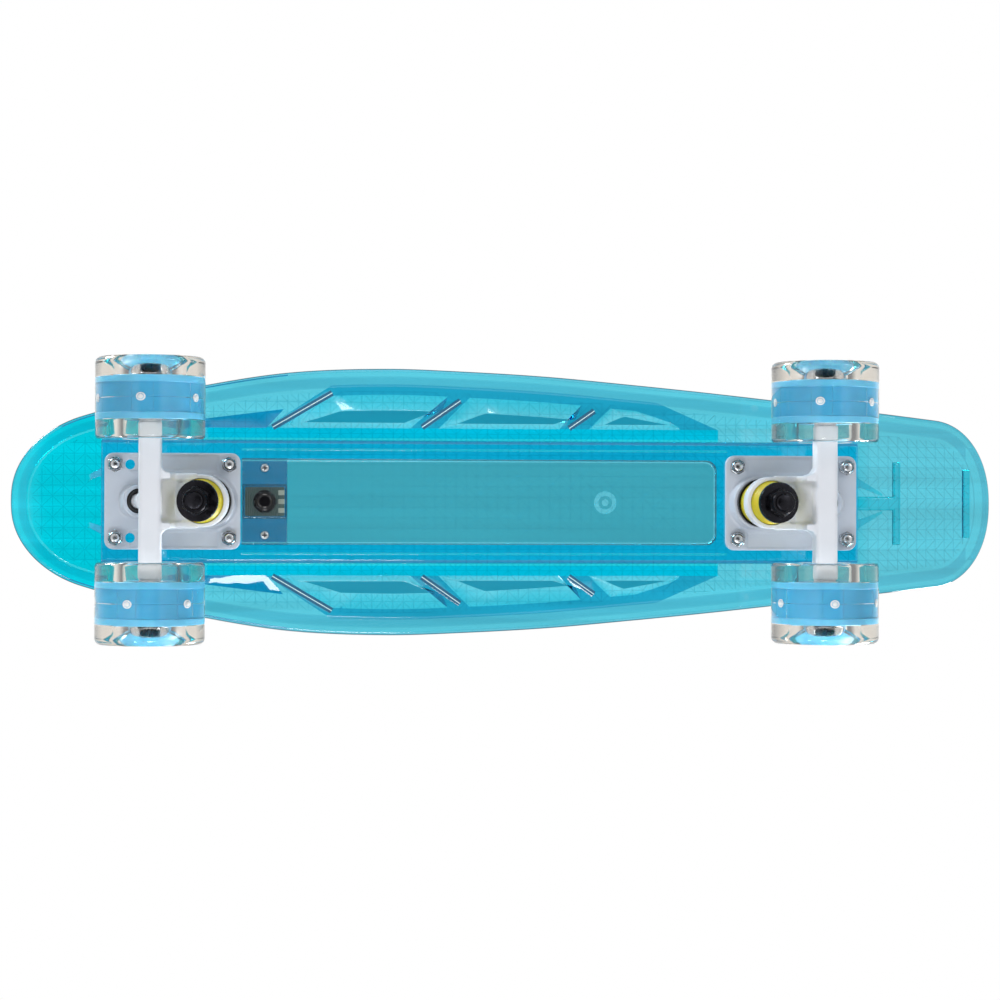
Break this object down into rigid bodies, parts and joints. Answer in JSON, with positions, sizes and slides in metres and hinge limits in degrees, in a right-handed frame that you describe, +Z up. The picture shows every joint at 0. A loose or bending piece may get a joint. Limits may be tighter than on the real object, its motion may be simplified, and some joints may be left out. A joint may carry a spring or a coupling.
{
  "type": "cruiser skateboard",
  "caption": "Short plastic cruiser skateboard: clear turquoise deck with a kicked tail, white steering trucks, clear light-up wheels and a push-button light under the nose.",
  "frame": {"origin": "on the floor under the middle of the board, the centre of the bounding box's bottom face", "axes": "+X towards the nose, +Y to the left of a rider who faces the nose, +Z up"},
  "size_m": [0.5696, 0.1572, 0.1056],
  "materials": {
    "clear_turquoise": "clear turquoise polycarbonate, glossy from the mould",
    "clear_smoke": "clear moulded cover with a slight grey cast",
    "clear_urethane": "water-clear cast urethane",
    "blue_core": "translucent sky-blue moulded core with light chips",
    "white_paint": "cast aluminium with a white powder coat",
    "yellow_urethane": "yellow cast urethane, satin",
    "black_plastic": "black moulded plastic",
    "board_green": "circuit board with solder mask",
    "black_steel": "black oxide steel",
    "zinc_steel": "zinc plated steel",
    "bright_steel": "polished bearing steel",
    "dark_magnet": "nickel plated magnet"
  },
  "bodies": {
    "board": {"deck": "clear_turquoise", "light_cover": "clear_smoke", "light_board": "board_green", "light_cell": "bright_steel", "light_screw_left": "zinc_steel", "light_screw_right": "zinc_steel", "front_base_plate": "white_paint", "front_pivot_cup": "black_plastic", "front_kingpin": "black_steel", "front_upper_washer": "black_steel", "front_upper_bushing": "yellow_urethane", "front_lower_bushing": "yellow_urethane", "front_lower_washer": "black_steel", "front_kingpin_nut": "black_steel", "front_bolt_1": "zinc_steel", "front_bolt_2": "zinc_steel", "front_bolt_3": "zinc_steel", "front_bolt_4": "zinc_steel", "rear_base_plate": "white_paint", "rear_pivot_cup": "black_plastic", "rear_kingpin": "black_steel", "rear_upper_washer": "black_steel", "rear_upper_bushing": "yellow_urethane", "rear_lower_bushing": "yellow_urethane", "rear_lower_washer": "black_steel", "rear_kingpin_nut": "black_steel", "rear_bolt_1": "zinc_steel", "rear_bolt_2": "zinc_steel", "rear_bolt_3": "zinc_steel", "rear_bolt_4": "zinc_steel"},
    "light_push_button": {"light_button": "black_plastic"},
    "front_truck": {"front_hanger": "white_paint", "front_axle": "zinc_steel", "front_left_magnet_sleeve": "dark_magnet", "front_left_axle_nut": "black_steel", "front_right_magnet_sleeve": "dark_magnet", "front_right_axle_nut": "black_steel"},
    "rear_truck": {"rear_hanger": "white_paint", "rear_axle": "zinc_steel", "rear_left_magnet_sleeve": "dark_magnet", "rear_left_axle_nut": "black_steel", "rear_right_magnet_sleeve": "dark_magnet", "rear_right_axle_nut": "black_steel"},
    "front_left_wheel": {"front_left_tyre": "clear_urethane", "front_left_core": "blue_core", "front_left_outer_bearing": "bright_steel", "front_left_inner_bearing": "bright_steel"},
    "front_right_wheel": {"front_right_tyre": "clear_urethane", "front_right_core": "blue_core", "front_right_outer_bearing": "bright_steel", "front_right_inner_bearing": "bright_steel"},
    "rear_left_wheel": {"rear_left_tyre": "clear_urethane", "rear_left_core": "blue_core", "rear_left_outer_bearing": "bright_steel", "rear_left_inner_bearing": "bright_steel"},
    "rear_right_wheel": {"rear_right_tyre": "clear_urethane", "rear_right_core": "blue_core", "rear_right_outer_bearing": "bright_steel", "rear_right_inner_bearing": "bright_steel"}
  },
  "joints": [
    {"name": "front_lean", "type": "hinge", "parent": "board", "child": "front_truck", "pos_m": [0.1767, 0, 0.04675], "axis": [0.9065, 0, 0.4223], "range_deg": [-12, 12], "stiffness_Nm_per_rad": 30, "deforming": ["front_upper_bushing", "front_lower_bushing"]},
    {"name": "rear_lean", "type": "hinge", "parent": "board", "child": "rear_truck", "pos_m": [-0.1423, 0, 0.04675], "axis": [-0.9065, 0, 0.4223], "range_deg": [-12, 12], "stiffness_Nm_per_rad": 30, "deforming": ["rear_upper_bushing", "rear_lower_bushing"]},
    {"name": "front_left_spin", "type": "hinge", "parent": "front_truck", "child": "front_left_wheel", "pos_m": [0.20475, 0.0561, 0.03], "axis": [0, 1, 0], "continuous": true},
    {"name": "front_right_spin", "type": "hinge", "parent": "front_truck", "child": "front_right_wheel", "pos_m": [0.20475, -0.0561, 0.03], "axis": [0, 1, 0], "continuous": true},
    {"name": "rear_left_spin", "type": "hinge", "parent": "rear_truck", "child": "rear_left_wheel", "pos_m": [-0.17035, 0.0561, 0.03], "axis": [0, 1, 0], "continuous": true},
    {"name": "rear_right_spin", "type": "hinge", "parent": "rear_truck", "child": "rear_right_wheel", "pos_m": [-0.17035, -0.0561, 0.03], "axis": [0, 1, 0], "continuous": true},
    {"name": "light_button_press", "type": "slide", "parent": "board", "child": "light_push_button", "axis": [0, 0, 1], "range_m": [0, 0.0008], "stiffness_N_per_m": 400, "springref_m": -0.0005}
  ]
}
